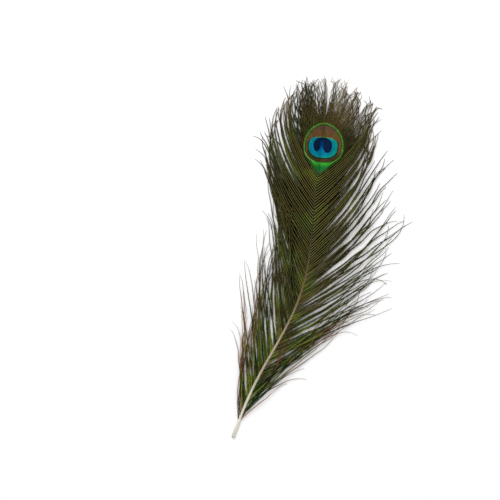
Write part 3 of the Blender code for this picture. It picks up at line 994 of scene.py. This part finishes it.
def markings_group():
    """The eye's colours over a base colour: green ring and triangle, bronze, cyan patch and navy heart."""
    tree, given, put_out = new_group(
        "eye markings",
        {"U": "value", "V": "value", "Position": "vector", "Base": "colour", "Fan": "value"},
        {"Color": "colour", "Inside": "value"},
    )
    nodes = Nodes(tree)
    u, v, position = given["U"], given["V"], given["Position"]
    ovals = oval_group()
    egg, patch, heart = [oval(nodes, ovals, u, v, *form) for form in (BRONZE_OVAL, PATCH_OVAL, HEART_OVAL)]
    blotch = nodes.noise(position, BLOTCH_GRAIN, detail=3.0)
    in_patch = nodes.step(patch, *PATCH_EDGE)
    colour = add_triangle(nodes, u, v, given["Fan"], given["Base"])
    colour = add_ring(nodes, u, v, position, blotch, egg, colour)
    colour = add_bronze(nodes, v, blotch, egg, colour)
    colour = add_patch(nodes, u, v, patch, in_patch, colour)
    put_out("Color", add_heart(nodes, u, v, heart, in_patch, colour))
    put_out("Inside", nodes.step(egg, *MARKED_EDGE))
    return tree


def barb_colour_group():
    """The loose barbs' colour: dark olive and bronze, greener low down, and russet or coppery at the tips.
    Stems are paler, partly in their own colour and partly as painted light, with a painted lit band beside
    them; the blades are darkened as painted shade, and cream glints above the eye are painted highlights.
    """
    tree, given, put_out = new_group(
        "barb colour",
        {"Position": "vector", "Tone": "value", "Core": "value", "Share": "value", "Fan": "value"},
        {"Color": "colour"},
    )
    nodes = Nodes(tree)
    tone, y = given["Tone"], nodes.part_along(given["Position"], (0.0, 1.0, 0.0))
    low, crown, near_cut = nodes.step(y, *LOW_ZONE), nodes.step(y, *CROWN_ZONE), nodes.step(y, *BASE_ZONE)

    colour = nodes.mix(nodes.step(tone, *BRONZE_TONES), OLIVE, BRONZE_BARB)
    green = nodes.mix(nodes.step(tone, *YELLOW_TONES), GREEN_BARB, YELLOW_BARB)
    patches = nodes.noise(given["Position"], GREEN_GRAIN, detail=3.0)
    greened = nodes.math("ADD", patches, nodes.product(low, LOW_GREENER))
    colour = nodes.mix(nodes.step(greened, *GREEN_PATCHES), colour, green)
    colour = nodes.mix(nodes.product(crown, nodes.step(tone, *CROWN_TONES)), colour, CROWN_BARB)
    lowness = nodes.math("ADD", nodes.product(low, LOW_REACH), nodes.product(near_cut, BASE_REACH))
    outer = nodes.math("ADD", nodes.math("ADD", given["Share"], lowness), nodes.product(tone, TONE_REACH))
    at_tip = nodes.step(outer, *TIP_SHARES)
    colour = nodes.mix(at_tip, colour, nodes.mix(low, RUSSET_BARB, COPPER_BARB))

    # Stems paler than the blades: partly their own colour, partly painted light.
    paler_and_lit = nodes.scaled(colour, nodes.mix_value(at_tip, *STEM_PALER_AND_LIT))
    stem = nodes.mix(nodes.mix_value(low, *STEM_OWN_COLOUR), CORE_PALE_AND_LIT, paler_and_lit)
    # Painted cream glints on strands above the eye.
    glint = nodes.product(crown, nodes.step(tone, *GLINT_TONES), nodes.step(given["Share"], *GLINT_SHARES))
    stem = nodes.mix(glint, stem, CROWN_PAINTED_GLINT)
    stem = nodes.scaled(stem, nodes.mix_value(low, 1.0, nodes.step(tone, *LOW_STEM_TONES)))

    # Painted shade: blades darkened by tone, except at the tips.
    blade = nodes.scaled(colour, nodes.mix_value(at_tip, nodes.step(tone, *BLADE_SHADE_TONES), 1.0))
    # A painted lit band beside each stem, in the stem's colour.
    strength = nodes.mix_value(low, LIT_BAND_STRENGTH, nodes.step(tone, *LOW_LIT_BAND_TONES))
    in_lit_band = nodes.step(given["Fan"], nodes.mix_value(low, *LIT_BAND_ENDS), LIT_BAND_FULL)
    blade = nodes.mix(nodes.product(in_lit_band, strength), blade, stem)
    put_out("Color", nodes.mix(given["Core"], blade, stem))
    return tree


def new_material(name, roughness, specular=None):
    made = bpy.data.materials.new(name)
    made.use_nodes = True
    made.node_tree.nodes.remove(made.node_tree.nodes["Principled BSDF"])
    nodes = Nodes(made.node_tree)
    shader = nodes.node("ShaderNodeBsdfPrincipled")
    made.node_tree.links.new(shader.outputs[0], made.node_tree.nodes["Material Output"].inputs["Surface"])
    shader.inputs["Roughness"].default_value = roughness
    if specular is not None:
        shader.inputs["Specular IOR Level"].default_value = specular
    position = nodes.node("ShaderNodeTexCoord").outputs["Object"]
    return made, nodes, shader.inputs, position


def vane_material(name, groups, core_strength, metallic, roughness):
    """Barbs and the close vane: barb colours, with the eye's markings where the barb belongs to the eye. On
    the markings, painted shade darkens the blades away from each barb and a painted highlight lightens the
    stems and rib crests; seen from below, the underside's brown gets the same painted shade.
    """
    made, nodes, inputs, position = new_material(name, roughness, BARB_SPECULAR)
    frame_tree, markings, barb_colour = groups
    tone, share, fan = nodes.attribute("tone"), nodes.attribute("share"), nodes.attribute("fan")
    core = nodes.product(nodes.attribute("core"), core_strength)
    base = nodes.group(barb_colour, Position=position, Tone=tone, Core=core, Share=share, Fan=fan)["Color"]
    place = nodes.group(frame_tree, Position=position, Shift=nodes.attribute("shift"))
    marked = nodes.group(markings, U=place["U"], V=place["V"], Position=position, Base=base, Fan=fan)
    # Painted shade away from each barb and a painted highlight on stems and crests, times the barb's own
    # tone.
    shade = nodes.product(nodes.step(tone, *VANE_TONES), nodes.step(fan, *VANE_FAN_SHADE))
    shade = nodes.math("ADD", shade, nodes.product(core, RIB_HIGHLIGHT))
    inside = nodes.scaled(marked["Color"], nodes.mix_value(marked["Inside"], 1.0, shade))
    colour = nodes.mix(nodes.attribute("eye"), base, inside)
    # The underside's own brown, with painted shade away from each barb.
    back = nodes.scaled(linear(UNDERSIDE)[:3], nodes.step(fan, *BACK_FAN_SHADE))
    seen_from_below = nodes.node("ShaderNodeNewGeometry").outputs["Backfacing"]
    nodes.feed(inputs["Base Color"], nodes.mix(seen_from_below, colour, back))
    inputs["Metallic"].default_value = metallic
    return made


def underside_material():
    """The back of the close vane: dull brown, with the barbs as faint ribs of painted shade and painted
    highlight.
    """
    made, nodes, inputs, position = new_material("dull underside", BACK_ROUGHNESS, BACK_SPECULAR)
    # Painted shade between the ribs and a painted highlight on their crests.
    ribs = nodes.step(nodes.attribute("core"), *BACK_RIB_SHADE)
    mottled = nodes.step(nodes.noise(position, MOTTLE_GRAIN), *MOTTLE)
    at_rim = nodes.step(nodes.attribute("share"), *UNDERSIDE_RIM_SHARES)
    colour = nodes.mix(at_rim, UNDERSIDE, UNDERSIDE_RIM)
    nodes.feed(inputs["Base Color"], nodes.scaled(colour, nodes.product(ribs, mottled)))
    return made


def shaft_material():
    """Pale horn, browner towards the eye, with fine streaks along it and white pith in the cut."""
    made, nodes, inputs, position = new_material("horn shaft", HORN_ROUGHNESS, HORN_SPECULAR)
    y = nodes.part_along(position, (0.0, 1.0, 0.0))
    grain = nodes.noise(position, HORN_GRAIN, detail=3.0, stretch=HORN_STRETCH)
    facing = nodes.node("ShaderNodeNewGeometry").outputs["Normal"]
    below = nodes.step(nodes.part_along(facing, (0.0, 0.0, 1.0)), *HORN_BELOW)
    colour = QUILL
    for factor, shade in (
        (nodes.step(y, *QUILL_ZONE), QUILL_MIDDLE),
        (nodes.step(y, *UPPER_ZONE), QUILL_UPPER),
        (nodes.step(y, *TOP_ZONE), QUILL_TOP),
        (below, QUILL),
        (nodes.step(grain, *HORN_STREAKS), RUSSET_BARB),
        (nodes.step(y, *CUT_ZONE), PITH),
    ):
        colour = nodes.mix(factor, colour, shade)
    nodes.feed(inputs["Base Color"], colour)
    bump = nodes.node("ShaderNodeBump")
    bump.inputs["Strength"].default_value = HORN_BUMP
    bump.inputs["Distance"].default_value = HORN_BUMP_DEPTH
    nodes.feed(bump.inputs["Height"], grain)
    nodes.feed(inputs["Normal"], bump.outputs[0])
    return made


# Camera, light and floor


def add_camera():
    data = bpy.data.cameras.new("camera")
    data.lens, data.sensor_width = LENS, SENSOR
    camera = placed("camera", data)
    camera.location = (*VIEW_MIDDLE, VIEW_WIDTH * LENS / SENSOR)
    camera.rotation_euler = (0.0, 0.0, math.radians(PHOTO_TILT))
    bpy.context.scene.camera = camera


def add_light():
    world = bpy.data.worlds.new("studio")
    world.use_nodes = True
    background = world.node_tree.nodes["Background"]
    background.inputs["Color"].default_value = (1.0, 1.0, 1.0, 1.0)
    background.inputs["Strength"].default_value = SKY_STRENGTH
    bpy.context.scene.world = world
    data = bpy.data.lights.new("softbox", "AREA")
    data.shape, data.size, data.energy = "SQUARE", SOFTBOX_SIZE, SOFTBOX_POWER
    light = placed("softbox", data)
    light.location = SOFTBOX_PLACE
    towards = Vector(SOFTBOX_AIM) - light.location
    light.rotation_euler = towards.to_track_quat("-Z", "Y").to_euler()


def add_floor():
    made, _, inputs, _ = new_material("white floor", FLOOR_ROUGHNESS)
    inputs["Base Color"].default_value = FLOOR_WHITE
    shape = bmesh.new()
    bmesh.ops.create_grid(shape, x_segments=1, y_segments=1, size=FLOOR_HALF)
    floor = meshed("floor", shape, made)


def make_feather():
    groups = (eye_frame_group(), markings_group(), barb_colour_group())
    loose = vane_material("loose barbs", groups, 1.0, BARB_METALLIC, BARB_ROUGHNESS)
    close = vane_material("close vane", groups, RIB_STEM, VANE_METALLIC, VANE_ROUGHNESS)
    rng = np.random.default_rng(SEED)
    eyes = {side: eye_barbs(side, rng) for side in (-1, 1)}
    pieces = [
        (make_shaft(shaft_material()), "shaft"),
        (make_web(eyes[-1], eyes[1], close, underside_material()), "eye"),
    ]
    for side, word in ((-1, "left"), (1, "right")):
        barbs = loose_barbs(side, rng)
        half = len(barbs) // 2
        pieces.append((make_barbs(f"lower_barbs_{word}", barbs[:half], loose, rng), "barbs"))
        pieces.append((make_barbs(f"upper_barbs_{word}", barbs[half:], loose, rng), "barbs"))
        pieces.append((make_barbs(f"eye_barbs_{word}", eyes[side], loose, rng, EYE_BARBULE_START), "barbs"))
    for piece, slot in pieces:
        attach(piece, "root")
        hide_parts("feather")


def main():
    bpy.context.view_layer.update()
    make_feather()
    add_floor()
    add_light()
    add_camera()
    bpy.context.scene.view_settings.view_transform = "Standard"


main()
